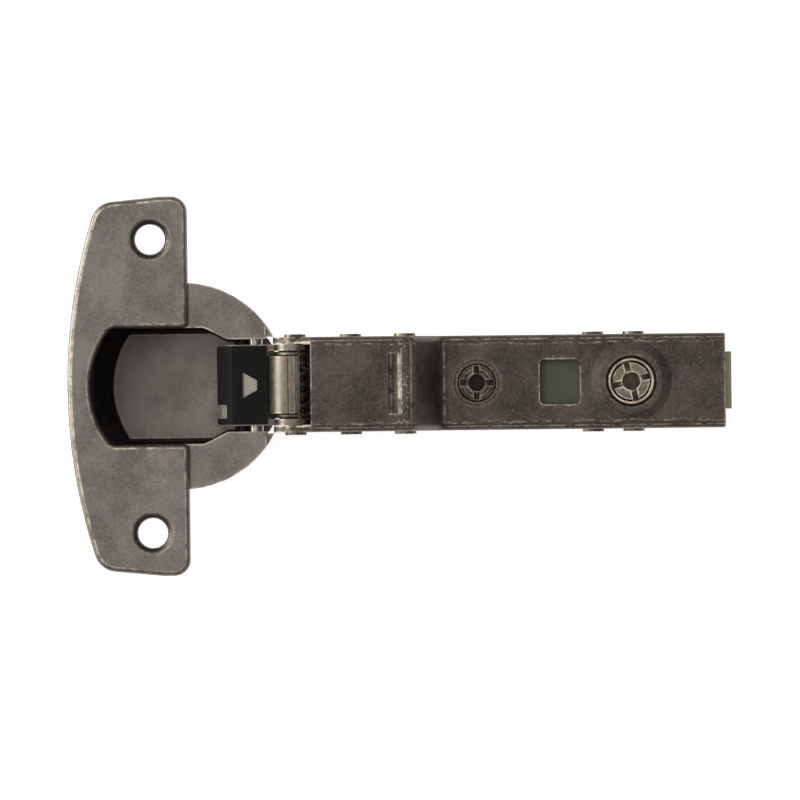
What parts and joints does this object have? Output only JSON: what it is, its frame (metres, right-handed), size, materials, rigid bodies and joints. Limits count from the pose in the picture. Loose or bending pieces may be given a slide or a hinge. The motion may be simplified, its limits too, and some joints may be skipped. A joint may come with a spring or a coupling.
{
  "type": "concealed cup hinge",
  "caption": "Cranked concealed cabinet hinge with a 35 mm cup, two-link pivot, clip-on arm and two adjusting screws, open at 90 degrees.",
  "frame": {"origin": "midway between the two cup screws, on the plane of the door's face", "axes": "+X along the arm, +Y along the pivot pins, +Z out of the door"},
  "size_m": [0.1179, 0.0672, 0.0213],
  "materials": {
    "cup_shell": "blackened nickel plate, satin, worn pale at the edges",
    "cup_front_pin": "bare steel pin, dark",
    "cup_rear_pin": "bare steel pin, dark",
    "outer_link": "blackened nickel plate, satin",
    "link_cover": "black moulded plastic, fine texture",
    "inner_link": "blackened nickel plate, satin",
    "arm_channel": "blackened nickel plate, satin, worn pale at the edges",
    "front_pivot_pin": "blackened rivet",
    "rear_pivot_pin": "blackened rivet",
    "damper_rivet": "blackened rivet",
    "guide_pin": "blackened rivet",
    "adapter_pin": "blackened rivet",
    "catch_pin": "blackened pin",
    "closing_spring": "black oiled spring steel",
    "catch_spring": "spring steel",
    "damper_housing": "black moulded plastic",
    "damper_plunger": "dark grey moulded plastic",
    "damper_spring": "spring steel",
    "side_screw": "blackened screw, worn in the slots",
    "slide_plate": "dull grey steel",
    "depth_screw": "blackened eccentric with a worn coppery rim",
    "adapter_channel": "dull grey-green passivated steel",
    "catch_lever": "dull olive-grey steel"
  },
  "bodies": {
    "adapter": {"adapter_channel": "adapter_channel", "catch_pin": "catch_pin", "catch_spring": "catch_spring"},
    "slide": {"slide_plate": "slide_plate", "adapter_pin": "adapter_pin"},
    "arm": {"arm_channel": "arm_channel", "front_pivot_pin": "front_pivot_pin", "rear_pivot_pin": "rear_pivot_pin", "damper_rivet": "damper_rivet", "guide_pin": "guide_pin", "closing_spring": "closing_spring", "damper_housing": "damper_housing", "damper_spring": "damper_spring"},
    "side_adjuster": {"side_screw": "side_screw"},
    "depth_adjuster": {"depth_screw": "depth_screw"},
    "catch": {"catch_lever": "catch_lever"},
    "plunger": {"damper_plunger": "damper_plunger"},
    "outer": {"outer_link": "outer_link", "link_cover": "link_cover"},
    "cup": {"cup_shell": "cup_shell", "cup_front_pin": "cup_front_pin", "cup_rear_pin": "cup_rear_pin"},
    "inner": {"inner_link": "inner_link"}
  },
  "joints": [
    {"name": "depth_slide", "type": "slide", "parent": "adapter", "child": "slide", "axis": [1, 0, 0], "range_m": [-0.0013, 0.0013]},
    {"name": "depth_screw_turn", "type": "hinge", "parent": "slide", "child": "depth_adjuster", "pos_m": [0.085, 0, -0.00145], "axis": [0, 0, 1], "range_deg": [-60, 60]},
    {"name": "arm_tilt", "type": "hinge", "parent": "slide", "child": "arm", "pos_m": [0.0856, 0, -0.0092], "axis": [0, 1, 0], "range_deg": [-1.2, 1.2]},
    {"name": "side_screw_turn", "type": "hinge", "parent": "arm", "child": "side_adjuster", "pos_m": [0.0576, 0, -0.0013], "axis": [0, 0, 1], "range_deg": [-217, 217]},
    {"name": "catch_swing", "type": "hinge", "parent": "adapter", "child": "catch", "pos_m": [0.095, 0, -0.009], "axis": [0, 1, 0], "range_deg": [-12, 0], "stiffness_Nm_per_rad": 0.02, "springref_deg": 11.46},
    {"name": "outer_swing", "type": "hinge", "parent": "arm", "child": "outer", "pos_m": [0.0255, 0, 0.0032], "axis": [0, 1, 0], "range_deg": [-5.1, 30.6]},
    {"name": "cup_swing", "type": "hinge", "parent": "outer", "child": "cup", "pos_m": [0.0163, 0, -0.0068], "axis": [0, 1, 0], "range_deg": [-10, 59.5]},
    {"name": "inner_swing", "type": "hinge", "parent": "cup", "child": "inner", "pos_m": [0.0185, 0, -0.0017], "axis": [0, 1, 0], "range_deg": [-94.6, 15.9]},
    {"name": "plunger_slide", "type": "slide", "parent": "arm", "child": "plunger", "axis": [1, 0, 0], "range_m": [-0.0004, 0.00195], "deforming": ["damper_spring"]}
  ],
  "couplings": [
    {"joint": "depth_screw_turn", "follows": "depth_slide", "rad_per_m": 805},
    {"joint": "side_screw_turn", "follows": "arm_tilt", "ratio": 180},
    {"joint": "cup_swing", "follows": "outer_swing", "ratio": 1.9412},
    {"joint": "inner_swing", "follows": "outer_swing", "ratio": -3.0882},
    {"joint": "plunger_slide", "follows": "outer_swing", "m_per_rad": 0.003464}
  ]
}
